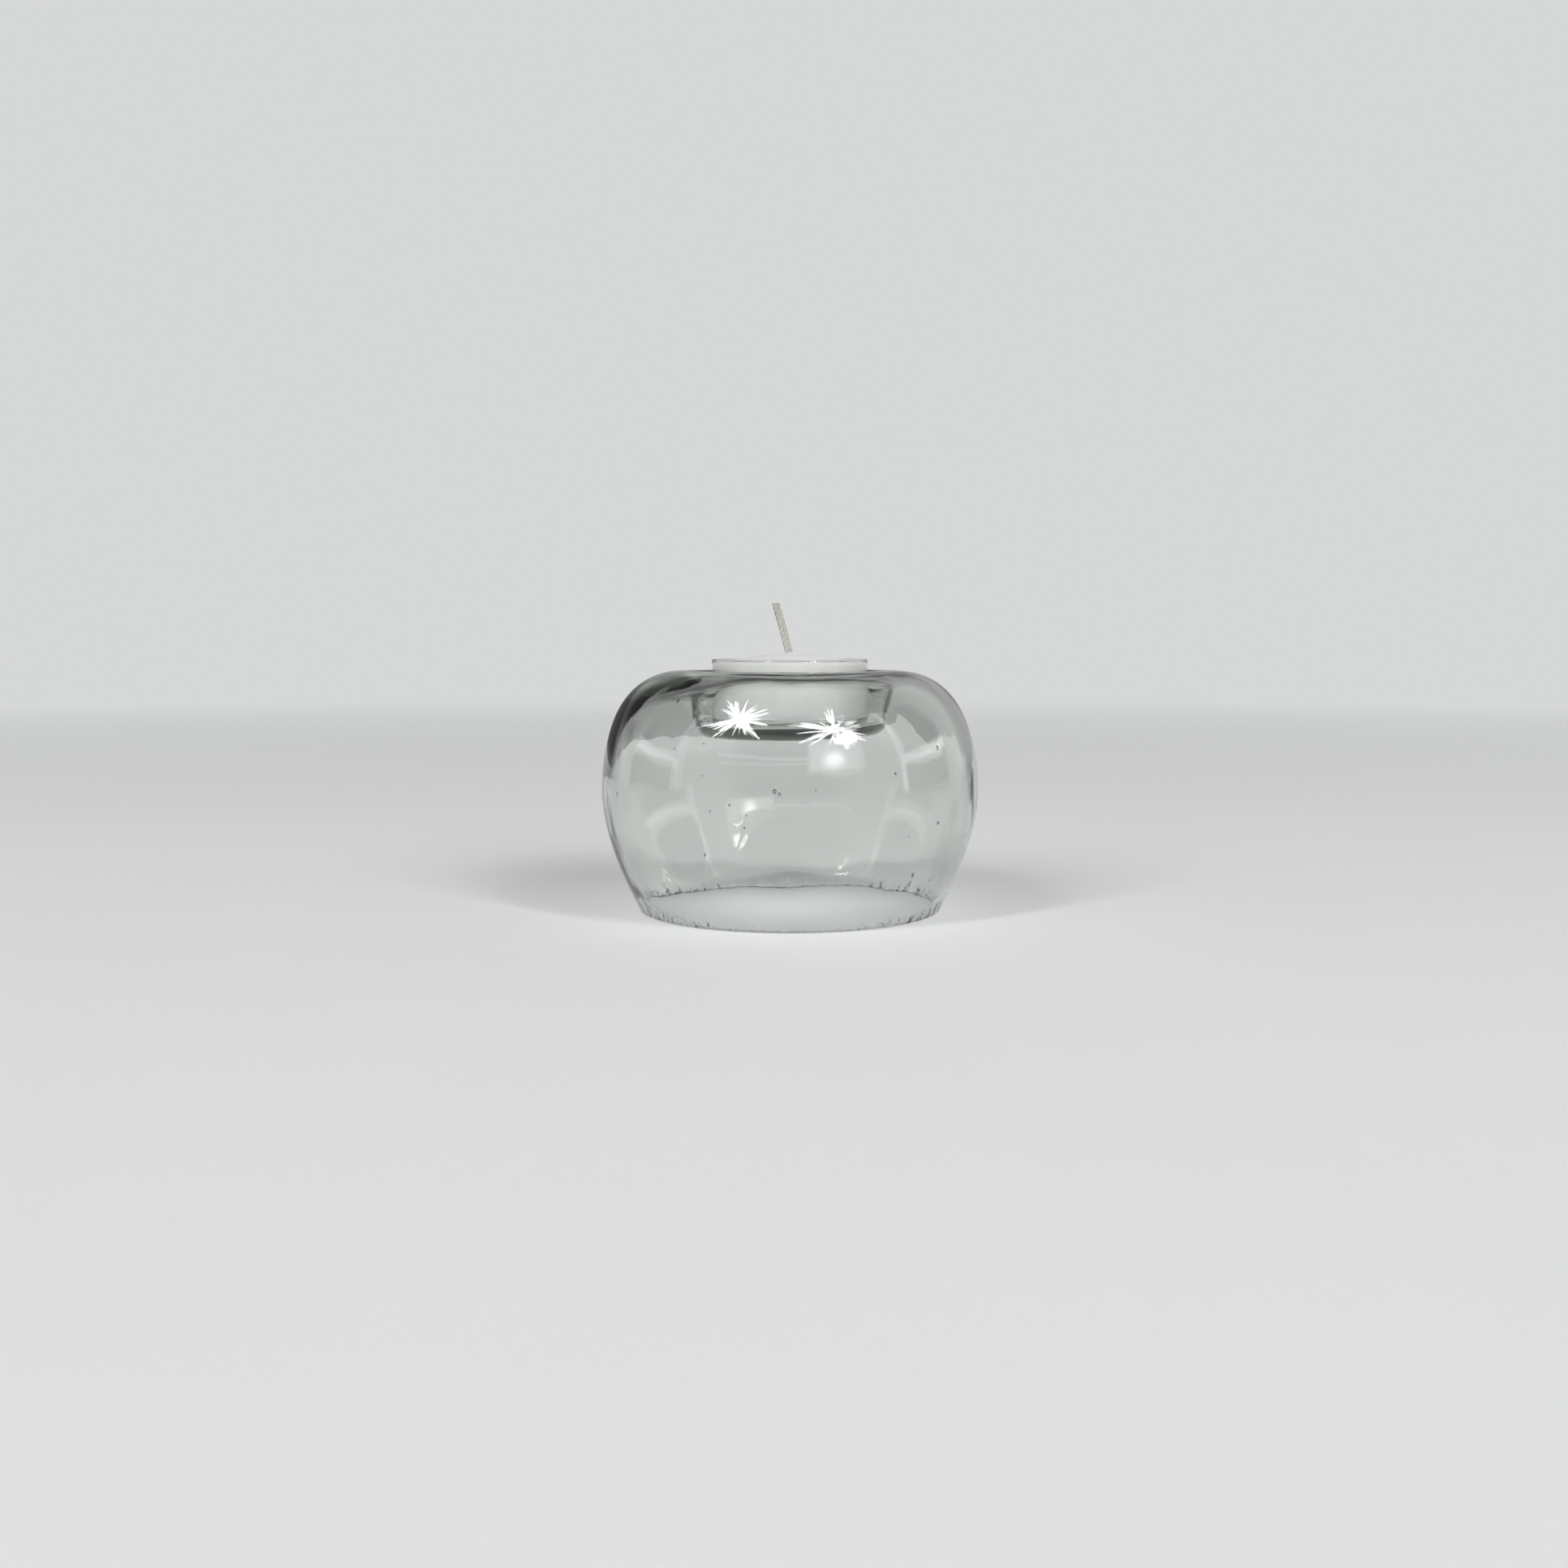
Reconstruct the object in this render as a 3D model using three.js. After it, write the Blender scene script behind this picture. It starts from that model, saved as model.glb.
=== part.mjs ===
// A blown-glass tealight holder: an upturned bowl whose closed end is pressed in to make a round well,
// with a tealight standing in the well. Millimetres, +Z up, origin at the centre of the foot's resting plane.
import * as THREE from "three";

// Driving dimensions.

const gap = 0.2; // clearance between neighbouring pieces

// The bowl. A pull is how far the wall follows its own direction at a point before it turns away.
const bowl = {
  height: 58.5, // foot to crest
  footRadius: 37.1, // outside of the foot rim
  footLean: 29.2, // degrees that the wall leans out from upright at the foot
  footPull: 11,
  bellyRadius: 46.1, // widest point
  bellyHeight: 29,
  bellyPullDown: 8,
  bellyPullUp: 14.6,
  crestRadius: 25.8, // ring where the shoulder turns over into the well
  crestPull: 15.4,
  footWall: 1.8,
  bellyWall: 2,
  crestWall: 2.8,
  rimRound: 0.55, // fire-polished edge of the foot
  facets: 56,
};

const well = {
  floorHeight: 45.4, // the tealight stands here
  floorRadius: 21.8, // inside, at the foot of the side wall
  mouthRadius: 23.2, // inside, where the lip begins to roll over
  lipDrop: 2.6, // height over which the lip rolls over
  floorWall: 3.2,
  sideWall: 2.2,
  innerCorner: 1.6,
  outerCorner: 6,
  throatRound: 1.4, // inside the lip, where the well wall meets the shoulder
};

const cup = {
  radius: 19, // at the lip of a standard tealight
  baseRadius: 18.7, // slight moulding draft
  height: 15.5,
  wall: 0.5,
  corner: 1.1,
  beadDepth: 0.35, // thickened lip, standing inwards
  beadHeight: 0.6,
  lipChamfer: 0.15,
  footRing: 15.8, // the base is recessed inside this ring
  footRecess: 0.35,
  facets: 40,
};

const wax = {
  edgeDrop: 0.6, // wax edge below the cup rim
  edgeRound: 0.5,
  crownRise: 2.3, // top of the dome above the wax edge
  crownPull: 5.2,
  edgePull: 4.6,
  wickBore: 1.5,
  facets: 40,
};

const sustainer = {
  discRadius: 6.4,
  sheet: 0.3,
  neckHeight: 3.6,
  neckRadius: 1.55, // outside
  drawnCorner: 0.7,
  facets: 32,
};

const wick = {
  width: 1.8,
  thickness: 1.2,
  baseLift: 0.3, // its cut end stands just inside the neck
  exposed: 12, // height above the wax
  shift: 0.25, // it leaves the wax this far towards -X
  lean: 3.6, // the tip stands this far towards -X
  turnAside: 0.35, // the tip stands this far towards -Y
  sides: 12,
  steps: 22,
};

// Heights that follow from the driving dimensions.
const cupFloor = well.floorHeight + gap;
const cupTop = cupFloor + cup.height;
const cupInside = cupFloor + cup.footRecess + cup.wall;
const waxFloor = cupInside + gap;
const waxEdge = cupTop - wax.edgeDrop;
const waxCrown = waxEdge + wax.crownRise;

const point = (x, y) => new THREE.Vector2(x, y);

// Curve pieces of a profile, x as radius and y as height, each with its number of steps.
const line = (from, to) => [new THREE.LineCurve(from, to), 1];
const corner = (from, tip, to, steps) => [new THREE.QuadraticBezierCurve(from, tip, to), steps];
const sweep = (from, leaving, arriving, to, steps) => [
  new THREE.CubicBezierCurve(from, leaving, arriving, to),
  steps,
];

// Joins curve pieces end to end into one list of profile points.
function outline(pieces) {
  return pieces.flatMap(([curve, steps], i) => curve.getPoints(steps).slice(i ? 1 : 0));
}

// A profile of straight lines.
function polyline(points) {
  return points.slice(1).map((to, i) => line(points[i], to));
}

// Turns a profile about Z. The profile runs against the clock as seen with the radius to the right.
function turned(name, pieces, facets, material) {
  const geometry = new THREE.LatheGeometry(outline(pieces), facets);
  geometry.rotateX(Math.PI / 2);
  const mesh = new THREE.Mesh(geometry, material);
  mesh.name = name;
  return mesh;
}

// The profile climbs the underside of the well and the inside of the bowl to the foot, then the outside
// over the shoulder and lip, and goes down the well to its floor.
function glassHolder(material) {
  const insideFoot = bowl.footRadius - bowl.footWall;
  const insideBelly = bowl.bellyRadius - bowl.bellyWall;
  const insideCrest = bowl.height - bowl.crestWall;
  const underFloor = well.floorHeight - well.floorWall;
  const wellOut = well.floorRadius + well.sideWall;
  const throatOut = well.mouthRadius + well.sideWall;
  const lean = THREE.MathUtils.degToRad(bowl.footLean);
  const footPull = point(Math.sin(lean), Math.cos(lean)).multiplyScalar(bowl.footPull);

  const underEdge = point(wellOut - well.outerCorner, underFloor);
  const underSide = point(wellOut, underFloor + well.outerCorner);
  const throatLow = point(throatOut, insideCrest - well.throatRound);
  const throatTop = point(throatOut + well.throatRound, insideCrest);
  const bellyIn = point(insideBelly, bowl.bellyHeight);
  const footIn = point(insideFoot, bowl.rimRound);
  const restIn = point(insideFoot + bowl.rimRound, 0);
  const restOut = point(bowl.footRadius - bowl.rimRound, 0);
  const footOut = point(bowl.footRadius, bowl.rimRound);
  const bellyOut = point(bowl.bellyRadius, bowl.bellyHeight);
  const crest = point(bowl.crestRadius, bowl.height);
  const lipLow = point(well.mouthRadius, bowl.height - well.lipDrop);
  const sideLow = point(well.floorRadius, well.floorHeight + well.innerCorner);
  const floorEdge = point(well.floorRadius - well.innerCorner, well.floorHeight);

  return turned(
    "glass_holder",
    [
      line(point(0, underFloor), underEdge),
      corner(underEdge, point(wellOut, underFloor), underSide, 4),
      line(underSide, throatLow),
      corner(throatLow, point(throatOut, insideCrest), throatTop, 4),
      sweep(
        throatTop,
        point(throatTop.x + bowl.crestPull - bowl.crestWall, insideCrest),
        point(insideBelly, bowl.bellyHeight + bowl.bellyPullUp - bowl.bellyWall),
        bellyIn,
        9,
      ),
      sweep(
        bellyIn,
        point(insideBelly, bowl.bellyHeight - bowl.bellyPullDown),
        footIn.clone().add(footPull),
        footIn,
        8,
      ),
      corner(footIn, point(insideFoot, 0), restIn, 2),
      line(restIn, restOut),
      corner(restOut, point(bowl.footRadius, 0), footOut, 2),
      sweep(
        footOut,
        footOut.clone().add(footPull),
        point(bowl.bellyRadius, bowl.bellyHeight - bowl.bellyPullDown),
        bellyOut,
        8,
      ),
      sweep(
        bellyOut,
        point(bowl.bellyRadius, bowl.bellyHeight + bowl.bellyPullUp),
        point(bowl.crestRadius + bowl.crestPull, bowl.height),
        crest,
        11,
      ),
      corner(crest, point(well.mouthRadius, bowl.height), lipLow, 5),
      line(lipLow, sideLow),
      corner(sideLow, point(well.floorRadius, well.floorHeight), floorEdge, 4),
      line(floorEdge, point(0, well.floorHeight)),
    ],
    bowl.facets,
    material,
  );
}

// A thin clear moulding with a recessed base and a beaded lip.
function candleCup(material) {
  const recess = cupFloor + cup.footRecess;
  const insideBase = cup.baseRadius - cup.wall;
  const insideTop = cup.radius - cup.wall;
  const beadInside = insideTop - cup.beadDepth;
  const beadFoot = cupTop - cup.beadHeight;

  const restEdge = point(cup.baseRadius - cup.corner, cupFloor);
  const sideLow = point(cup.baseRadius, cupFloor + cup.corner);
  const insideSideLow = point(insideBase, cupInside + cup.corner);
  const insideFloorEdge = point(insideBase - cup.corner, cupInside);

  return turned(
    "candle_cup",
    [
      ...polyline([
        point(0, recess),
        point(cup.footRing - cup.footRecess, recess),
        point(cup.footRing, cupFloor),
        restEdge,
      ]),
      corner(restEdge, point(cup.baseRadius, cupFloor), sideLow, 3),
      ...polyline([
        sideLow,
        point(cup.radius, cupTop - cup.lipChamfer),
        point(cup.radius - cup.lipChamfer, cupTop),
        point(beadInside + cup.lipChamfer, cupTop),
        point(beadInside, cupTop - cup.lipChamfer),
        point(beadInside, beadFoot),
        point(insideTop, beadFoot - cup.beadDepth),
        insideSideLow,
      ]),
      corner(insideSideLow, point(insideBase, cupInside), insideFloorEdge, 3),
      line(insideFloorEdge, point(0, cupInside)),
    ],
    cup.facets,
    material,
  );
}

// The poured fill: a domed top, a bore round the wick, and a recess over the wick sustainer.
function waxFill(material) {
  const low = cup.baseRadius - cup.wall - gap;
  const high = cup.radius - cup.wall - gap;
  const discTop = waxFloor + sustainer.sheet + gap;
  const neckTop = waxFloor + sustainer.neckHeight + gap;
  const neckClear = sustainer.neckRadius + sustainer.drawnCorner + gap;

  const bottomEdge = point(low - cup.corner, waxFloor);
  const sideLow = point(low, waxFloor + cup.corner);
  const edge = point(high - wax.edgeRound, waxEdge);
  const crown = point(wax.wickBore, waxCrown);

  return turned(
    "wax",
    [
      line(point(sustainer.discRadius + gap, waxFloor), bottomEdge),
      corner(bottomEdge, point(low, waxFloor), sideLow, 3),
      ...polyline([sideLow, point(high, waxEdge - wax.edgeRound), edge]),
      sweep(
        edge,
        point(edge.x - wax.edgePull, waxEdge + wax.edgeRound),
        point(wax.wickBore + wax.crownPull, waxCrown - wax.edgeRound),
        crown,
        8,
      ),
      ...polyline([
        crown,
        point(wax.wickBore, neckTop),
        point(neckClear, neckTop),
        point(neckClear, discTop),
        point(sustainer.discRadius + gap, discTop),
        point(sustainer.discRadius + gap, waxFloor),
      ]),
    ],
    wax.facets,
    material,
  );
}

// A stamped sheet disc with a drawn neck that grips the wick.
function wickSustainer(material) {
  const sheetTop = waxFloor + sustainer.sheet;
  const top = waxFloor + sustainer.neckHeight;
  const inside = sustainer.neckRadius - sustainer.sheet;
  const drawn = sustainer.drawnCorner;

  const mouthFlat = point(inside + drawn, waxFloor);
  const neckFlat = point(sustainer.neckRadius + drawn, sheetTop);
  const neckLow = point(sustainer.neckRadius, sheetTop + drawn);
  const neckIn = point(inside, waxFloor + drawn);

  return turned(
    "wick_sustainer",
    [
      ...polyline([
        mouthFlat,
        point(sustainer.discRadius, waxFloor),
        point(sustainer.discRadius, sheetTop),
        neckFlat,
      ]),
      corner(neckFlat, point(sustainer.neckRadius, sheetTop), neckLow, 3),
      ...polyline([neckLow, point(sustainer.neckRadius, top), point(inside, top), neckIn]),
      corner(neckIn, point(inside, waxFloor), mouthFlat, 3),
    ],
    sustainer.facets,
    material,
  );
}

// A flat braided wick: straight up through the neck and the wax, then leaning over.
function candleWick(material) {
  const foot = waxFloor + wick.baseLift;
  const along = (share) =>
    new THREE.Vector3(
      -THREE.MathUtils.lerp(wick.shift, wick.lean, share),
      -wick.turnAside * share,
      waxCrown + wick.exposed * share,
    );
  const route = new THREE.CatmullRomCurve3([
    new THREE.Vector3(0, 0, foot),
    new THREE.Vector3(0, 0, (foot + waxCrown) / 2),
    along(0),
    along(0.33),
    along(0.67),
    along(1),
  ]);
  const section = new THREE.Shape(
    new THREE.EllipseCurve(0, 0, wick.width / 2, wick.thickness / 2).getPoints(wick.sides).slice(0, -1),
  );
  const geometry = new THREE.ExtrudeGeometry(section, { steps: wick.steps, extrudePath: route });
  const mesh = new THREE.Mesh(geometry, material);
  mesh.name = "wick";
  return mesh;
}

const materials = {
  glass: new THREE.MeshStandardMaterial({
    color: 0xc9d6cf,
    roughness: 0.03,
    metalness: 0,
    transparent: true,
    opacity: 0.35,
  }),
  clearPlastic: new THREE.MeshStandardMaterial({
    color: 0xe6e4e8,
    roughness: 0.08,
    metalness: 0,
    transparent: true,
    opacity: 0.35,
  }),
  wax: new THREE.MeshStandardMaterial({ color: 0xeef0ec, roughness: 0.45, metalness: 0 }),
  cotton: new THREE.MeshStandardMaterial({ color: 0xcfc9b2, roughness: 0.75, metalness: 0 }),
  tinplate: new THREE.MeshStandardMaterial({ color: 0xb9bcbd, roughness: 0.3, metalness: 1 }),
};

const tealight = new THREE.Group();
tealight.add(
  candleCup(materials.clearPlastic),
  waxFill(materials.wax),
  wickSustainer(materials.tinplate),
  candleWick(materials.cotton),
);

const holder = new THREE.Group();
holder.add(glassHolder(materials.glass), tealight);

export default holder;
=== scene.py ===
import math
import random

import bpy
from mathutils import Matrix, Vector
from mathutils.geometry import interpolate_bezier


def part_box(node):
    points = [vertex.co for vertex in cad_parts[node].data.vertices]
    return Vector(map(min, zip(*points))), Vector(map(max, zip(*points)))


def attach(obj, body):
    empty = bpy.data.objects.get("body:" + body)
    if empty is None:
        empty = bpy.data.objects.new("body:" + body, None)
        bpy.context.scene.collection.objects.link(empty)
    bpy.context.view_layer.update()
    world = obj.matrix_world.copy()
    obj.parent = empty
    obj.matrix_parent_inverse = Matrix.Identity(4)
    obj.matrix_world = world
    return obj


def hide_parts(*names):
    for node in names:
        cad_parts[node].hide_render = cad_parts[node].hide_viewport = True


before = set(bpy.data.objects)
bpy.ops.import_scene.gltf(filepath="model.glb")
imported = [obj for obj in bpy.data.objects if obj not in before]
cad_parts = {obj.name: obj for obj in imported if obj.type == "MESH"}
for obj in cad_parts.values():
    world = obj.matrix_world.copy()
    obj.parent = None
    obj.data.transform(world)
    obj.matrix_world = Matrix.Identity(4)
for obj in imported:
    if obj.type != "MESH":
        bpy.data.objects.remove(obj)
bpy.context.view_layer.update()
scene = bpy.context.scene
mm = 0.001

glassLow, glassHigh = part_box("glass_holder")
cupLow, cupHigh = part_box("candle_cup")
waxLow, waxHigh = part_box("wax")
discLow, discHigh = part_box("wick_sustainer")
wickLow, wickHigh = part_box("wick")
print("frame loaded")


# working by hand: selecting, pulling rings, finishing

def clearSelection():
    if bpy.context.object and bpy.context.object.mode != "OBJECT":
        bpy.ops.object.mode_set(mode="OBJECT")
    bpy.ops.object.select_all(action="DESELECT")


def pickUp(piece):
    clearSelection()
    piece.select_set(True)
    bpy.context.view_layer.objects.active = piece


def placeInMesh(piece):
    pickUp(piece)
    bpy.ops.object.transform_apply(location=True, rotation=True, scale=True)


def applyModifier(piece, kind, **settings):
    pickUp(piece)
    modifier = piece.modifiers.new(kind.title(), kind)
    for name, value in settings.items():
        setattr(modifier, name, value)
    bpy.ops.object.modifier_apply(modifier=modifier.name)


def smoothFaces(piece, degrees=180):
    pickUp(piece)
    bpy.ops.object.shade_smooth_by_angle(angle=math.radians(degrees))


def sweepTo(start, leave, arrive, end, steps):
    return [tuple(p) for p in interpolate_bezier(start, leave, arrive, end, steps + 1)][1:]


def roundTo(start, tip, end, steps):
    # both pulls reach two thirds of the way to the corner's tip
    leave = [a + (b - a) * 2 / 3 for a, b in zip(start, tip)]
    arrive = [a + (b - a) * 2 / 3 for a, b in zip(end, tip)]
    return sweepTo(start, leave, arrive, end, steps)


def turnPiece(name, route, sides, closed=False):
    # one ring of edges, pulled from point to point of the route and drawn in or out as it goes
    clearSelection()
    radius, height = route[0]
    bpy.ops.mesh.primitive_circle_add(vertices=sides, radius=radius, location=(0, 0, height))
    piece = bpy.context.object
    piece.name = piece.data.name = name
    placeInMesh(piece)
    bpy.ops.object.mode_set(mode="EDIT")
    bpy.ops.mesh.select_all(action="SELECT")
    for newRadius, newHeight in route[1:]:
        bpy.ops.mesh.extrude_region_move(TRANSFORM_OT_translate={"value": (0, 0, newHeight - height)})
        drawn = newRadius / radius
        bpy.ops.transform.resize(value=(drawn, drawn, 1), center_override=(0, 0, newHeight))
        radius, height = newRadius, newHeight
    if closed:
        bpy.ops.mesh.select_all(action="SELECT")
        bpy.ops.mesh.remove_doubles(threshold=0.002 * mm)
    else:
        bpy.ops.mesh.merge(type="CENTER")
        bpy.ops.mesh.select_all(action="DESELECT")
        bpy.ops.mesh.select_non_manifold()
        bpy.ops.mesh.merge(type="CENTER")
    bpy.ops.mesh.select_all(action="SELECT")
    bpy.ops.mesh.normals_make_consistent(inside=False)
    bpy.ops.object.mode_set(mode="OBJECT")
    return piece


def givePlace(piece, body, slotName, *nodes):
    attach(piece, body)
    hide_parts(*nodes)


# materials

class nodeDesk:
    # a node tree being wired up: nodes are added, and joined socket to socket
    def __init__(self, tree):
        self.tree = tree
        self.coordinates = self.add("ShaderNodeTexCoord")

    def add(self, kind, **settings):
        node = self.tree.nodes.new(kind)
        for name, value in settings.items():
            setattr(node, name, value)
        return node

    def join(self, source, target):
        self.tree.links.new(source, target)

    def give(self, socket, value):
        if isinstance(value, bpy.types.NodeSocket):
            self.join(value, socket)
        elif socket.type == "RGBA" and len(value) == 3:
            socket.default_value = (*value, 1)
        else:
            socket.default_value = value

    def maths(self, operation, *values):
        node = self.add("ShaderNodeMath", operation=operation)
        for socket, value in zip(node.inputs, values):
            self.give(socket, value)
        return node.outputs["Value"]

    def direction(self, operation, first, second):
        node = self.add("ShaderNodeVectorMath", operation=operation)
        self.give(node.inputs[0], first)
        self.give(node.inputs[1], second)
        return node.outputs["Value"] if operation in ("DOT_PRODUCT", "DISTANCE") else node.outputs["Vector"]

    def ramp(self, value, low, high, lowValue=0.0, highValue=1.0, soft=False):
        node = self.add("ShaderNodeMapRange", interpolation_type="SMOOTHSTEP" if soft else "LINEAR")
        numbers = {"Value": value, "From Min": low, "From Max": high, "To Min": lowValue, "To Max": highValue}
        for name, number in numbers.items():
            self.give(node.inputs[name], number)
        return node.outputs["Result"]

    def mixed(self, share, below, above):
        node = self.add("ShaderNodeMix", data_type="RGBA")
        first, second = [s for s in node.inputs if s.type == "RGBA"]
        self.give(node.inputs["Factor"], share)
        self.give(first, below)
        self.give(second, above)
        return next(s for s in node.outputs if s.type == "RGBA")


class finishDesk(nodeDesk):
    # the same for a material, with its Principled shader at hand
    def __init__(self, name):
        self.material = bpy.data.materials.new(name)
        self.material.use_nodes = True
        super().__init__(self.material.node_tree)
        self.shader = self.tree.nodes["Principled BSDF"]
        self.place = self.coordinates.outputs["Object"]

    def stretched(self, scale, turn=(0, 0, 0)):
        mapping = self.add("ShaderNodeMapping")
        mapping.inputs["Scale"].default_value = scale
        mapping.inputs["Rotation"].default_value = turn
        self.join(self.place, mapping.inputs["Vector"])
        return mapping.outputs["Vector"]

    def noise(self, scale, detail=3, roughness=0.5, vector=None, distortion=0):
        node = self.add("ShaderNodeTexNoise")
        numbers = {"Scale": scale, "Detail": detail, "Roughness": roughness, "Distortion": distortion}
        for name, number in numbers.items():
            node.inputs[name].default_value = number
        self.join(vector or self.place, node.inputs["Vector"])
        return node.outputs["Fac"]

    def bump(self, height, distance, after=None):
        node = self.add("ShaderNodeBump")
        node.inputs["Distance"].default_value = distance
        self.join(height, node.inputs["Height"])
        if after is not None:
            self.join(after, node.inputs["Normal"])
        return node.outputs["Normal"]

    def set(self, values):
        for socketName, value in values.items():
            self.give(self.shader.inputs[socketName], value)

    def output(self, socketName):
        return self.tree.nodes["Material Output"].inputs[socketName]

    def giveTo(self, piece):
        piece.data.materials.clear()
        piece.data.materials.append(self.material)


# camera

cameraPlace = {
    "side": -1.43 * mm,
    "distance": 384.9 * mm,
    "height": 63.2 * mm,
    "tilt": 4.86,  # degrees below the horizon
    "lens": 36.1,
}


def addCamera():
    clearSelection()
    bpy.ops.object.camera_add(
        location=(cameraPlace["side"], -cameraPlace["distance"], cameraPlace["height"]),
        rotation=(math.radians(90 - cameraPlace["tilt"]), 0, 0),
    )
    camera = bpy.context.object
    camera.data.lens = cameraPlace["lens"]
    camera.data.clip_start = 10 * mm
    scene.camera = camera


addCamera()
print("camera placed")


# the blown glass

glass = {
    "footRadius": 37.1 * mm,
    "footLean": math.radians(29.2),
    "footPull": 11 * mm,
    "bellyHeight": 29 * mm,
    "bellyPullDown": 8 * mm,
    "bellyPullUp": 14.6 * mm,
    "crestRadius": 25.8 * mm,
    "crestPull": 15.4 * mm,
    "footWall": 1.8 * mm,
    "bellyWall": 2.0 * mm,
    "crestWall": 2.4 * mm,
    "footRound": 0.75 * mm,
    "wellFloor": 45.4 * mm,
    "wellRadius": 21.8 * mm,
    "mouthRadius": 23.2 * mm,
    "lipDrop": 2.6 * mm,
    "floorWall": 3.2 * mm,
    "sideWall": 2.2 * mm,
    "innerCorner": 1.6 * mm,
    "outerCorner": 6.0 * mm,
    "throatRound": 1.2 * mm,
    "poleRadius": 2.0 * mm,
    "sides": 144,
    "thickDrop": 1.3 * mm,  # the shoulder's inner face hangs this much lower on the left
    "thickFrom": 40 * mm,
    "throatThin": 23 * mm,  # the extra comes in between these radii
    "ceilingThick": 31 * mm,
    "waveSize": 22 * mm,
    "waveDepth": 0.3 * mm,
    "seedDepth": 0.9 * mm,
    # seeds, the small bubbles left in the glass: turn from the front, height, size
    "bigSeeds": (
        (-40, 52.0, 0.38), (-4.4, 32.7, 0.40), (-3.1, 32.1, 0.30), (41.4, 12.2, 0.42), (48.9, 41.3, 0.42),
        (48, 24.1, 0.34), (31, 36.1, 0.26), (-62, 30, 0.28),
    ),
    "smallSeeds": 34,
    "smallHeight": (6, 48),
    "smallSize": (0.09, 0.24),
    "footSmooth": 0.4 * mm,
    "footMarks": 4.0 * mm,  # the cracked-off foot is uneven up to here
    # where the tongs held the shoulder: middle and facing of each mark
    "tongMarks": (
        ((-11.1 * mm, -40.8 * mm, 48.2 * mm), (-0.235, -0.861, 0.451)),
        ((9.8 * mm, -42.3 * mm, 45.9 * mm), (0.269, -0.905, 0.329)),
    ),
    "markReach": 9.5 * mm,
    "markSquash": 1.5,  # a mark is this much wider than it is tall
    "markRoughness": 0.05,
    "waveBump": 0.10 * mm,
    "skinBump": 0.006 * mm,
    "footBump": 0.80 * mm,
    "bend": 1.5,  # refractive index
    "depthColour": (0.52, 0.585, 0.51),  # the glass's own tint, and how soon it shows
    "depthDensity": 105,
}


def glassRoute():
    g = glass
    crestHeight = glassHigh.z
    belly = (glassHigh.x, g["bellyHeight"])
    bellyIn = (glassHigh.x - g["bellyWall"], g["bellyHeight"])
    pull = (math.sin(g["footLean"]) * g["footPull"], math.cos(g["footLean"]) * g["footPull"])
    insideFoot = g["footRadius"] - g["footWall"]
    insideCrest = crestHeight - g["crestWall"]
    underFloor = g["wellFloor"] - g["floorWall"]
    wellOut = g["wellRadius"] + g["sideWall"]
    throatOut = g["mouthRadius"] + g["sideWall"]

    underEdge = (wellOut - g["outerCorner"], underFloor)
    underSide = (wellOut, underFloor + g["outerCorner"])
    throatLow = (throatOut, insideCrest - g["throatRound"])
    throatTop = (throatOut + g["throatRound"], insideCrest)
    footIn = (insideFoot, g["footRound"])
    footUnder = (g["footRadius"] - g["footWall"] / 2, 0)
    footOut = (g["footRadius"], g["footRound"])
    crest = (g["crestRadius"], crestHeight)
    lipLow = (g["mouthRadius"], crestHeight - g["lipDrop"])
    sideLow = (g["wellRadius"], g["wellFloor"] + g["innerCorner"])
    floorEdge = (g["wellRadius"] - g["innerCorner"], g["wellFloor"])
    pole = g["poleRadius"]

    route = [(pole, underFloor), (underEdge[0] / 2, underFloor), underEdge]
    route += roundTo(underEdge, (wellOut, underFloor), underSide, 6)
    route += roundTo(underSide, underSide, throatLow, 4)
    route += roundTo(throatLow, (throatOut, insideCrest), throatTop, 4)
    route += sweepTo(
        throatTop,
        (throatTop[0] + g["crestPull"] - g["crestWall"], insideCrest),
        (bellyIn[0], g["bellyHeight"] + g["bellyPullUp"] - g["bellyWall"]),
        bellyIn,
        14,
    )
    route += sweepTo(
        bellyIn,
        (bellyIn[0], g["bellyHeight"] - g["bellyPullDown"]),
        (footIn[0] + pull[0], footIn[1] + pull[1]),
        footIn,
        10,
    )
    inside = range(3, len(route))  # rings that face the hollow
    route += roundTo(footIn, (insideFoot, 0), footUnder, 4)
    route += roundTo(footUnder, (g["footRadius"], 0), footOut, 4)
    route += sweepTo(
        footOut,
        (footOut[0] + pull[0], footOut[1] + pull[1]),
        (belly[0], g["bellyHeight"] - g["bellyPullDown"]),
        belly,
        10,
    )
    route += sweepTo(
        belly,
        (belly[0], g["bellyHeight"] + g["bellyPullUp"]),
        (g["crestRadius"] + g["crestPull"], crestHeight),
        crest,
        16,
    )
    route += roundTo(crest, (g["mouthRadius"], crestHeight), lipLow, 7)
    route += roundTo(lipLow, lipLow, sideLow, 3)
    route += roundTo(sideLow, (g["wellRadius"], g["wellFloor"]), floorEdge, 6)
    route += [(floorEdge[0] / 2, g["wellFloor"]), (pole, g["wellFloor"])]
    return route, inside


def easeBetween(value, low, high):
    share = min(1, max(0, (value - low) / (high - low)))
    return share * share * (3 - 2 * share)


def weighVertices(piece, groupName, weigh):
    group = piece.vertex_groups.new(name=groupName)
    for vertex in piece.data.vertices:
        group.add([vertex.index], weigh(vertex), "REPLACE")
    return groupName


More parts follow.
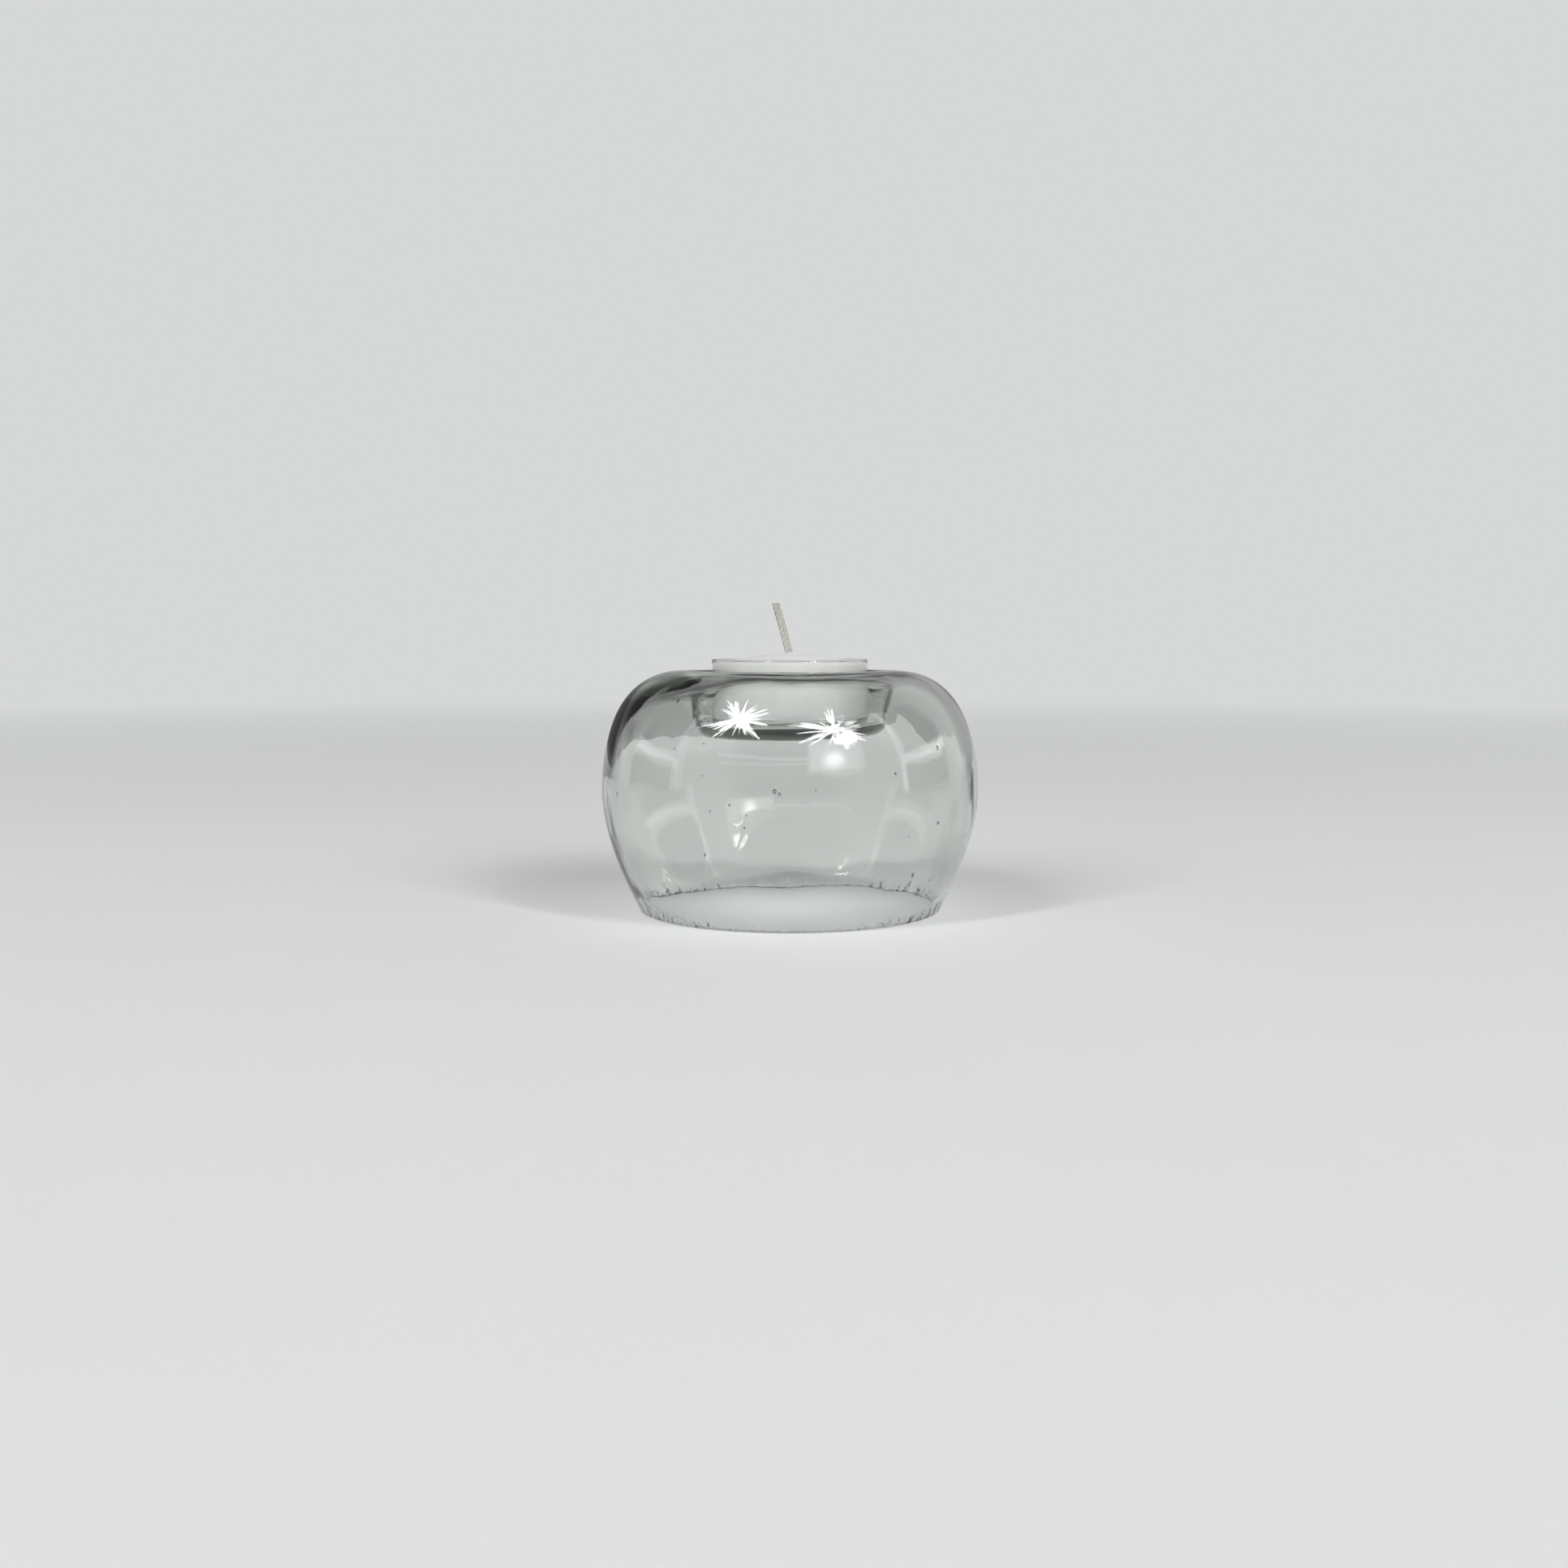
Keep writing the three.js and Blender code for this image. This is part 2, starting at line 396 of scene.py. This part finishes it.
def thickenLeft(piece, inside):
    # the gather ran to one side: the hollow's ceiling hangs lower on the left
    insideCrest = glassHigh.z - glass["crestWall"]

    def weigh(vertex):
        if vertex.index // glass["sides"] not in inside:
            return 0
        radius = math.hypot(vertex.co.x, vertex.co.y)
        leftShare = easeBetween(-vertex.co.x / radius, 0.25, 1)
        outShare = easeBetween(radius, glass["throatThin"], glass["ceilingThick"])
        return leftShare * outShare * easeBetween(vertex.co.z, glass["thickFrom"], insideCrest)

    group = weighVertices(piece, "thickLeft", weigh)
    applyModifier(
        piece,
        "DISPLACE",
        direction="Z",
        strength=-glass["thickDrop"],
        mid_level=0,
        vertex_group=group,
    )


def waveGlass(piece):
    # slow unevenness left by blowing, only ever into the wall, and none where the foot stands
    group = weighVertices(piece, "free", lambda vertex: easeBetween(vertex.co.z, 0, 8 * mm))
    waves = bpy.data.textures.new("slowWaves", "CLOUDS")
    waves.noise_scale = glass["waveSize"]
    waves.noise_depth = 1
    applyModifier(
        piece,
        "DISPLACE",
        texture=waves,
        texture_coords="LOCAL",
        strength=glass["waveDepth"],
        mid_level=1.0,
        vertex_group=group,
    )


def glassFinish():
    g = glass
    f = finishDesk("blownGlass")
    tint = f.mixed(f.noise(35, 2), (0.985, 0.99, 0.985), (0.995, 0.995, 0.995))
    smudges = f.ramp(f.noise(90, 4, 0.6), 0.5, 0.8, 0.0, 0.02)
    surface = f.bump(f.noise(110, 1, 0.4, f.stretched((1, 1, 0.6))), g["waveBump"])
    surface = f.bump(f.noise(700, 2, 0.5, f.stretched((1, 1, 0.35))), g["skinBump"], surface)
    # each mark of the tongs is a burst of narrow flats, mirrored by the outer skin alone
    geometry = f.add("ShaderNodeNewGeometry")
    outside = f.maths("SUBTRACT", 1.0, geometry.outputs["Backfacing"])
    skin = geometry.outputs["Normal"]
    flats = 0.0
    for middle, facing in g["tongMarks"]:
        away = f.direction("MULTIPLY", f.direction("SUBTRACT", f.place, middle), (1, 1, g["markSquash"]))
        outward = f.direction("NORMALIZE", away, (0, 0, 0))
        strands = f.maths("ADD", f.noise(15, 2, 0.6, outward), f.noise(2.6, 1, 0.5, outward))
        reach = f.maths("MULTIPLY", f.direction("DISTANCE", away, (0, 0, 0)), 0.5 / g["markReach"])
        share = f.ramp(f.maths("SUBTRACT", strands, reach), 0.72, 0.82)
        flats = f.maths("MAXIMUM", flats, share)
        turned = f.direction("MULTIPLY", f.direction("SUBTRACT", facing, skin), share)
        skin = f.direction("ADD", skin, turned)
    # the foot was cracked off and only lightly melted back
    split = f.add("ShaderNodeSeparateXYZ")
    f.join(f.place, split.inputs[0])
    low = f.ramp(split.outputs["Z"], g["footMarks"], g["footSmooth"], soft=True)
    chatter = f.noise(420, 3, 0.6, f.stretched((1, 1, 0.4)))
    surface = f.bump(f.maths("MULTIPLY", low, chatter), g["footBump"], surface)
    f.set({
        "Base Color": tint,
        "Roughness": smudges,
        "Normal": surface,
        "IOR": g["bend"],
        "Transmission Weight": 1.0,
        "Coat Weight": f.maths("MULTIPLY", flats, outside),
        "Coat Roughness": g["markRoughness"],
        "Coat Normal": skin,
    })
    absorption = f.add("ShaderNodeVolumeAbsorption")
    f.give(absorption.inputs["Color"], g["depthColour"])
    f.give(absorption.inputs["Density"], g["depthDensity"])
    f.join(absorption.outputs["Volume"], f.output("Volume"))
    return f


def blowSeed(piece, turn, height, size):
    # a bubble halfway into the wall, a little drawn out upwards
    angle = math.radians(turn)
    inward = Vector((-math.sin(angle), math.cos(angle), 0))
    found, spot, normal, face = piece.ray_cast(Vector((0, 0, height)) - inward * 2 * glassHigh.x, inward)
    clearSelection()
    bpy.ops.mesh.primitive_ico_sphere_add(
        subdivisions=2, radius=size, location=spot - normal * glass["seedDepth"], scale=(1, 1, 1.35)
    )
    seed = bpy.context.object
    placeInMesh(seed)
    bpy.ops.object.mode_set(mode="EDIT")
    bpy.ops.mesh.select_all(action="SELECT")
    bpy.ops.mesh.flip_normals()
    bpy.ops.object.mode_set(mode="OBJECT")
    return seed


def addSeeds(piece):
    draw = random.Random(11)
    spots = [(turn, height * mm, size * mm) for turn, height, size in glass["bigSeeds"]]
    for number in range(glass["smallSeeds"]):
        turn, height = draw.uniform(-180, 180), draw.uniform(*glass["smallHeight"])
        spots.append((turn, height * mm, draw.uniform(*glass["smallSize"]) * mm))
    seeds = [blowSeed(piece, *spot) for spot in spots]
    pickUp(piece)
    for seed in seeds:
        seed.select_set(True)
    bpy.ops.object.join()


def makeGlass():
    route, inside = glassRoute()
    piece = turnPiece("blown_glass", route, glass["sides"])
    thickenLeft(piece, inside)
    applyModifier(piece, "SUBSURF", levels=1, render_levels=1)
    waveGlass(piece)
    addSeeds(piece)
    smoothFaces(piece)
    glassFinish().giveTo(piece)
    givePlace(piece, "holder", "holder_glass", "glass_holder")


makeGlass()
print("glass blown")


# the clear moulded cup

cup = {
    "wall": 0.5 * mm,
    "draft": 0.3 * mm,
    "corner": 1.1 * mm,
    "beadDepth": 0.2 * mm,
    "beadHeight": 0.35 * mm,
    "lipRound": 0.12 * mm,
    "footRing": 15.8 * mm,
    "footRecess": 0.35 * mm,
    "ringFlat": 0.2 * mm,
    "poleRadius": 1.0 * mm,
    "sides": 96,
    "bend": 1.49,  # refractive index
    "flowDepth": 0.01 * mm,
}


def makeCup():
    c = cup
    top, base, out = cupHigh.z, cupLow.z, cupHigh.x
    baseOut = out - c["draft"]
    recess = base + c["footRecess"]
    inside = recess + c["wall"]
    insideBase, insideTop = baseOut - c["wall"], out - c["wall"]
    bead = insideTop - c["beadDepth"]
    beadFoot = top - c["beadHeight"]
    r = c["lipRound"]

    route = [(c["poleRadius"], recess), (c["footRing"] - c["footRecess"], recess), (c["footRing"], base)]
    restEdge, sideLow = (baseOut - c["corner"], base), (baseOut, base + c["corner"])
    route += [(c["footRing"] + c["ringFlat"], base), restEdge]
    route += roundTo(restEdge, (baseOut, base), sideLow, 5)
    route += [((baseOut + out) / 2, (base + top) / 2), (out - 0.01 * mm, top - 3 * r)]
    route += roundTo((out, top - 2 * r), (out, top), (out - 2 * r, top), 4)
    route += roundTo((bead + 2 * r, top), (bead, top), (bead, top - 2 * r), 4)
    route += [(bead, beadFoot), (insideTop, beadFoot - c["beadDepth"]), (insideTop, beadFoot - 3 * r)]
    insideLow, floorEdge = (insideBase, inside + c["corner"]), (insideBase - c["corner"], inside)
    route += [insideLow]
    route += roundTo(insideLow, (insideBase, inside), floorEdge, 5)
    route += [(c["footRing"], inside), (c["poleRadius"], inside)]
    piece = turnPiece("clear_cup", route, c["sides"])
    applyModifier(piece, "SUBSURF", levels=1, render_levels=1)
    smoothFaces(piece)

    f = finishDesk("clearMoulding")
    tint = f.mixed(f.noise(60, 2), (0.985, 0.98, 0.985), (0.995, 0.99, 0.99))
    haze = f.ramp(f.noise(260, 4, 0.6), 0.35, 0.75, 0.03, 0.10)
    flow = f.noise(500, 2, 0.5, f.stretched((1, 1, 0.12)))
    f.set({
        "Base Color": tint,
        "Roughness": haze,
        "Normal": f.bump(flow, c["flowDepth"]),
        "IOR": c["bend"],
        "Transmission Weight": 1.0,
    })
    f.giveTo(piece)
    givePlace(piece, "tealight", "clear_plastic", "candle_cup")


makeCup()
print("cup moulded")


# the wax

wax = {
    "paintedShadeFrom": 54 * mm,  # painted shade: the wax is coloured greyer between these heights, towards the top
    "paintedShadeTo": 59 * mm,
    "edgeDrop": 0.6 * mm,
    "edgeRound": 0.4 * mm,
    "contact": 0.03 * mm,
    "crownPull": 5.2 * mm,
    "edgePull": 4.6 * mm,
    "climbWidth": 2.4 * mm,  # the wax runs up the wick a little
    "corner": 1.1 * mm,
    "climbLow": 0.45 * mm,  # the climb begins this far under the crown
    "collar": 0.35 * mm,
    "wickHole": 0.75 * mm,
    "discGap": 0.2 * mm,
    "discSheet": 0.5 * mm,
    "neckRoom": 2.45 * mm,
    "sides": 96,
    "bend": 1.44,  # refractive index
    "glowWeight": 0.8,  # light that sinks in and comes out again
    "glowColour": (1.0, 0.92, 0.8),
    "glowReach": 6 * mm,
}


def makeWax():
    w = wax
    # the wax was poured, so it touches the cup all round
    low, foot = cupHigh.x - cup["wall"] - cup["draft"] + w["contact"], waxLow.z
    high, edge = cupHigh.x - cup["wall"] + w["contact"], cupHigh.z - w["edgeDrop"]
    crown = waxHigh.z
    discOut, discTop = discHigh.x + w["discGap"], foot + w["discSheet"]
    neckOut, neckTop = w["neckRoom"], discHigh.z + w["discGap"]

    bottomEdge, sideLow = (low - w["corner"], foot), (low, foot + w["corner"])
    edgeIn = (high - w["edgeRound"], edge)
    shoulder = (w["climbWidth"], crown - w["climbLow"])
    route = [(discOut, foot), (discOut + 0.3 * mm, foot), bottomEdge]
    route += roundTo(bottomEdge, (low, foot), sideLow, 5)
    route += [((low + high) / 2, (foot + edge) / 2), (high, edge - w["edgeRound"])]
    route += roundTo((high, edge - w["edgeRound"]), (high, edge), edgeIn, 3)
    route += sweepTo(
        edgeIn,
        (edgeIn[0] - w["edgePull"], edge + w["edgeRound"]),
        (shoulder[0] + w["crownPull"], shoulder[1] - 0.35 * mm),
        shoulder,
        12,
    )
    collar = (w["wickHole"] + w["collar"], crown)
    route += sweepTo(
        shoulder,
        (shoulder[0] - 0.7 * mm, shoulder[1] + 0.1 * mm),
        (collar[0] + 0.1 * mm, crown - 0.5 * mm),
        collar,
        4,
    )
    route += [(w["wickHole"], crown - 0.1 * mm), (w["wickHole"], crown - 1.2 * mm), (w["wickHole"], neckTop)]
    route += [(neckOut, neckTop), (neckOut, discTop), (discOut, discTop), (discOut, foot)]
    piece = turnPiece("poured_wax", route, w["sides"], closed=True)
    applyModifier(piece, "SUBSURF", levels=1, render_levels=1)
    smoothFaces(piece, 40)

    f = finishDesk("paraffin")
    mottle = f.noise(140, 4, 0.55)
    # painted shade: the top of the wax, which the lamps light most, is coloured greyer than its sides
    split = f.add("ShaderNodeSeparateXYZ")
    f.join(f.place, split.inputs[0])
    paintedShadeShare = f.ramp(split.outputs["Z"], w["paintedShadeFrom"], w["paintedShadeTo"], soft=True)
    dense = f.mixed(mottle, (0.90, 0.915, 0.90), (0.95, 0.965, 0.95))
    paintedShadeColour = f.mixed(mottle, (0.60, 0.615, 0.605), (0.67, 0.685, 0.675))
    # the greyer top colour is painted shade, not the wax's own colour
    colour = f.mixed(paintedShadeShare, dense, paintedShadeColour)
    sheen = f.ramp(f.noise(300, 3), 0.3, 0.7, 0.32, 0.5)
    surface = f.bump(f.noise(420, 3, 0.5), 0.02 * mm, f.bump(f.noise(90, 2), 0.12 * mm))
    f.set({
        "Base Color": colour,
        "Roughness": sheen,
        "Normal": surface,
        "IOR": w["bend"],
        "Subsurface Weight": w["glowWeight"],
        "Subsurface Radius": w["glowColour"],
        "Subsurface Scale": w["glowReach"],
    })
    f.giveTo(piece)
    givePlace(piece, "tealight", "candle_wax", "wax")


makeWax()
print("wax poured")


# the stamped sustainer

disc = {
    "sheet": 0.3 * mm,
    "drawn": 0.7 * mm,
    "neckRadius": 1.55 * mm,
    "beadRadius": 4.4 * mm,
    "beadHalf": 0.5 * mm,
    "beadRise": 0.12 * mm,
    "lip": 0.05 * mm,
    "rimRound": 0.1 * mm,
    "sides": 64,
    "brushDepth": 0.01 * mm,
}


def makeDisc():
    d = disc
    foot, top, out = discLow.z, discHigh.z, discHigh.x
    sheetTop, neckOut = foot + d["sheet"], d["neckRadius"]
    neckIn = neckOut - d["sheet"]
    mouth, neckFlat = (neckIn + d["drawn"], foot), (neckOut + d["drawn"], sheetTop)
    neckLow, neckInLow = (neckOut, sheetTop + d["drawn"]), (neckIn, foot + d["drawn"])
    bead, half, rise = d["beadRadius"], d["beadHalf"], d["beadRise"]
    lip, rim = d["lip"], d["rimRound"]
    route = [mouth, (bead - half, foot), (bead, foot + rise), (bead + half, foot)]
    route += [(out - lip, foot), (out, foot + rim), (out, sheetTop - rim), (out - lip, sheetTop)]
    route += [(bead + half, sheetTop), (bead, sheetTop + rise), (bead - half, sheetTop), neckFlat]
    route += roundTo(neckFlat, (neckOut, sheetTop), neckLow, 4)
    route += [(neckOut, top - lip), (neckOut - lip, top), (neckIn + lip, top), (neckIn, top - lip)]
    route += [neckInLow]
    route += roundTo(neckInLow, (neckIn, foot), mouth, 4)
    piece = turnPiece("stamped_sustainer", route, d["sides"], closed=True)
    applyModifier(piece, "SUBSURF", levels=1, render_levels=1)
    smoothFaces(piece, 40)

    f = finishDesk("tinplate")
    brushed = f.noise(900, 3, 0.6, f.stretched((1, 0.05, 1)))
    colour = f.mixed(brushed, (0.62, 0.63, 0.63), (0.78, 0.785, 0.78))
    dull = f.ramp(f.noise(500, 4), 0.3, 0.75, 0.22, 0.42)
    f.set({
        "Base Color": colour,
        "Roughness": dull,
        "Metallic": 1.0,
        "Normal": f.bump(brushed, d["brushDepth"]),
    })
    f.giveTo(piece)
    givePlace(piece, "tealight", "tinplate", "wick_sustainer")


makeDisc()
print("sustainer stamped")


# the braided wick

wick = {
    "strands": 5,
    "strandRadius": 0.36 * mm,
    "halfWidth": 0.62 * mm,
    "halfThickness": 0.24 * mm,
    "pitch": 6.0 * mm,
    "grain": 0.075 * mm,
    "shift": 0.25 * mm,
    "lean": 3.6 * mm,
    "turnAside": 0.35 * mm,
    "footGap": 0.3 * mm,
    "tipGap": 0.4 * mm,
    "steps": 110,
    "fibreDepth": 0.02 * mm,
    "glowWeight": 0.35,
    "glowColour": (1.0, 0.85, 0.6),
    "glowReach": 0.8 * mm,
}


def wickCentre(height):
    # upright inside the wax, then over towards the left
    w = wick
    waxTop = waxHigh.z
    if height < waxTop:
        share = max(0, (height - discHigh.z) / (waxTop - discHigh.z))
        return Vector((-w["shift"] * share ** 2, 0, height))
    share = (height - waxTop) / (wickHigh.z - waxTop)
    x = -w["shift"] - (w["lean"] - w["shift"]) * (0.9 * share + 0.1 * share ** 2)
    return Vector((x, -w["turnAside"] * share, height))


def makeStrand(number):
    w = wick
    phase = 2 * math.pi * number / w["strands"]
    clearSelection()
    bpy.ops.curve.primitive_nurbs_path_add()
    strand = bpy.context.object
    curve = strand.data
    curve.splines.clear()
    spline = curve.splines.new("POLY")
    spline.points.add(w["steps"])
    bottom, top = wickLow.z + w["footGap"], wickHigh.z - w["tipGap"]
    for step, spot in enumerate(spline.points):
        height = bottom + (top - bottom) * step / w["steps"]
        turn = 2 * math.pi * (height - bottom) / w["pitch"] + phase
        across = w["halfWidth"] * math.sin(turn)
        through = w["halfThickness"] * math.sin(2 * turn)
        spot.co = (*(wickCentre(height) + Vector((across, through, 0))), 1)
    curve.bevel_depth = w["strandRadius"]
    curve.bevel_resolution = 3
    curve.use_fill_caps = True
    pickUp(strand)
    bpy.ops.object.convert(target="MESH")
    return strand


def makeWick():
    w = wick
    strands = [makeStrand(number) for number in range(w["strands"])]
    clearSelection()
    for strand in strands:
        strand.select_set(True)
    bpy.context.view_layer.objects.active = strands[0]
    bpy.ops.object.join()
    piece = strands[0]
    piece.name = piece.data.name = "braided_wick"
    placeInMesh(piece)
    # the wax fuses the strands
    applyModifier(piece, "REMESH", mode="VOXEL", voxel_size=w["grain"])
    applyModifier(piece, "SMOOTH", factor=0.5, iterations=2)
    smoothFaces(piece)

    f = finishDesk("waxedCotton")
    along = f.noise(260, 3, 0.6, f.stretched((1, 1, 0.35)))
    cream = f.mixed(f.ramp(along, 0.35, 0.7), (0.25, 0.246, 0.217), (0.36, 0.356, 0.325))
    fibres = f.noise(5200, 2, 0.6, f.stretched((1, 1, 0.12)))
    f.set({
        "Base Color": cream,
        "Roughness": f.ramp(along, 0.3, 0.7, 0.45, 0.7),
        "Normal": f.bump(fibres, w["fibreDepth"]),
        "Subsurface Weight": w["glowWeight"],
        "Subsurface Radius": w["glowColour"],
        "Subsurface Scale": w["glowReach"],
    })
    f.giveTo(piece)
    givePlace(piece, "tealight", "wick_cotton", "wick")


makeWick()
print("wick braided")


# floor, light and air

studio = {
    "floorRadius": 6.0,
    "floorColour": (0.65, 0.66, 0.657),
    "floorRoughness": 0.85,
    "floorShine": 0.2,
    "floorTooth": 0.02 * mm,
    "fadeFrom": 0.35,  # the floor melts into the backdrop between these distances
    "fadeTo": 1.6,
    "backdrop": (0.675, 0.685, 0.685),
    "roomGrey": 0.75,
    # parts of the room as the object sees them: name, direction, inner and outer half width, grey
    "patches": (
        ("cameraSide", (0, -1, 0.2), 20, 46, 0.42),
        ("ceiling", (0.1, 0.0, 1), 26, 46, 0.12),
        ("darkAbove", (0, 0.80, 0.60), 10, 26, 0.08),
        ("leftCorner", (-0.62, 0.60, 0.58), 16, 28, 0.14),
        ("backSweep", (0.25, 1, 0), 31, 36, 0.43),
        ("leftBack", (-0.48, 1, -0.02), 13, 20, 0.15),
    ),
    # upright boxes, in degrees: name, turn to the right of the camera, height, width, tall, soft, grey
    "boxes": (
        ("rightPanel", 93, 15, 38, 60, 1.5, 0.12),
        ("rightPanelBar", 93, 14, 38, 5, 1.0, 2.4),
        ("rightPanelPost", 73, 15, 4, 64, 1.0, 2.4),
        ("leftPanel", -93, 15, 38, 60, 1.5, 0.12),
        ("leftPanelBar", -93, 14, 38, 5, 1.0, 2.2),
        ("leftPanelPost", -73, 15, 4, 64, 1.0, 1.8),
        ("frameTop", 0, 51, 92, 2, 0.8, 3.5),
        ("frameFoot", 0, 19, 92, 1.6, 0.8, 2.5),
        ("windowRight", 29, 22, 35, 19, 1.0, 2.4),
        ("windowRightLamp", 28, 19, 5, 5, 6.0, 18),
        ("lampLeft", -41, 48, 9, 7, 1.2, 24),
        ("lampRight", 39, 33, 9, 6, 1.2, 24),
    ),
    # lamps: name, place, size, power in watts, aimed at, whether clear pieces let it through
    "lamps": (
        ("keyStrip", (1.45, -1.40, 1.42), (0.10, 1.30), 18, (0, 0, 0.03), False),
        ("fillStrip", (-1.45, -1.40, 1.42), (0.07, 1.30), 17, (0, 0, 0.03), False),
        ("keySoft", (1.40, -1.60, 1.20), (0.90, 0.90), 5, (0, 0, 0.03), True),
        ("fillSoft", (-1.40, -1.60, 1.20), (0.90, 0.90), 5, (0, 0, 0.03), True),
        ("lowSoft", (0, -2.20, 0.30), (0.80, 0.50), 22, (0, 0, 0.03), True),
        # the light that the bowl gathers onto what it stands on
        ("gatheredLight", (0, 0, 0.038), (0.05, 0.05), 0.0135, (0, 0, 0), True),
    ),
    "clearPieces": ("blown_glass", "clear_cup"),
}


def addFloor():
    clearSelection()
    bpy.ops.mesh.primitive_circle_add(
        vertices=128, radius=studio["floorRadius"], fill_type="NGON", location=(0, 0, -0.05 * mm)
    )
    floor = bpy.context.object
    floor.name = "floor"
    placeInMesh(floor)
    f = finishDesk("palePaper")
    low, high = (tuple(c * k for c in studio["floorColour"]) for k in (0.985, 1.01))
    grain = f.mixed(f.noise(18, 3, 0.5), low, high)
    f.set({
        "Base Color": grain,
        "Roughness": studio["floorRoughness"],
        "Specular IOR Level": studio["floorShine"],
        "Normal": f.bump(f.noise(900, 2), studio["floorTooth"]),
    })
    # far off, the paper takes the backdrop's own brightness
    glow = f.add("ShaderNodeEmission")
    f.give(glow.inputs["Color"], studio["backdrop"])
    blend = f.add("ShaderNodeMixShader")
    reach = f.direction("DISTANCE", f.place, (0, 0, 0))
    f.join(f.ramp(reach, studio["fadeFrom"], studio["fadeTo"]), blend.inputs["Fac"])
    f.join(f.shader.outputs["BSDF"], blend.inputs[1])
    f.join(glow.outputs["Emission"], blend.inputs[2])
    f.join(blend.outputs["Shader"], f.output("Surface"))
    f.giveTo(floor)


def addLamp(name, place, size, power, aim, through):
    clearSelection()
    bpy.ops.object.light_add(type="AREA", location=place)
    lamp = bpy.context.object
    lamp.name = name
    lamp.data.shape = "RECTANGLE"
    lamp.data.size, lamp.data.size_y = size
    lamp.data.energy = power
    lamp.rotation_euler = (Vector(aim) - Vector(place)).to_track_quat("-Z", "Y").to_euler()
    # the glass mirrors the room's own windows and lamps, and not these
    lamp.visible_glossy = lamp.visible_transmission = lamp.visible_camera = False
    if not through:
        return
    # clear pieces throw no shadow from this lamp
    passed = bpy.data.collections.new(name + "Passes")
    for pieceName in studio["clearPieces"]:
        passed.objects.link(bpy.data.objects[pieceName])
    for entry in passed.collection_objects:
        entry.light_linking.link_state = "EXCLUDE"
    lamp.light_linking.blocker_collection = passed


def addRoom():
    world = bpy.data.worlds.new("room")
    scene.world = world
    world.use_nodes = True
    world.node_tree.nodes.clear()
    r = nodeDesk(world.node_tree)
    toward = r.coordinates.outputs["Generated"]
    split = r.add("ShaderNodeSeparateXYZ")
    r.join(toward, split.inputs[0])
    east, north, up = split.outputs
    turn = r.maths("DEGREES", r.maths("ARCTAN2", east, r.maths("MULTIPLY", north, -1.0)))
    height = r.maths("DEGREES", r.maths("ARCSINE", up))

    def inPatch(middle, inner, outer):
        along = r.direction("DOT_PRODUCT", toward, Vector(middle).normalized())
        return r.ramp(along, math.cos(math.radians(outer)), math.cos(math.radians(inner)), soft=True)

    def inSpan(value, middle, width, soft):
        away = r.maths("ABSOLUTE", r.maths("SUBTRACT", value, float(middle)))
        return r.ramp(away, width / 2 + soft, width / 2 - soft, soft=True)

    light = (studio["roomGrey"],) * 3
    for name, middle, inner, outer, grey in studio["patches"]:
        light = r.mixed(inPatch(middle, inner, outer), light, (grey,) * 3)
    for name, boxTurn, boxHeight, width, tall, soft, grey in studio["boxes"]:
        share = r.maths("MULTIPLY", inSpan(turn, boxTurn, width, soft), inSpan(height, boxHeight, tall, soft))
        light = r.mixed(share, light, (grey,) * 3)
    path = r.add("ShaderNodeLightPath")
    light = r.mixed(path.outputs["Is Camera Ray"], light, studio["backdrop"])
    background = r.add("ShaderNodeBackground")
    r.join(light, background.inputs["Color"])
    r.join(background.outputs[0], r.add("ShaderNodeOutputWorld").inputs["Surface"])


addFloor()
addRoom()
for lampSettings in studio["lamps"]:
    addLamp(*lampSettings)
scene.view_settings.view_transform = "Standard"
scene.cycles.sample_clamp_indirect = 0
scene.cycles.max_bounces = 32
scene.cycles.transmission_bounces = 32
scene.cycles.glossy_bounces = 12
print("studio lit")
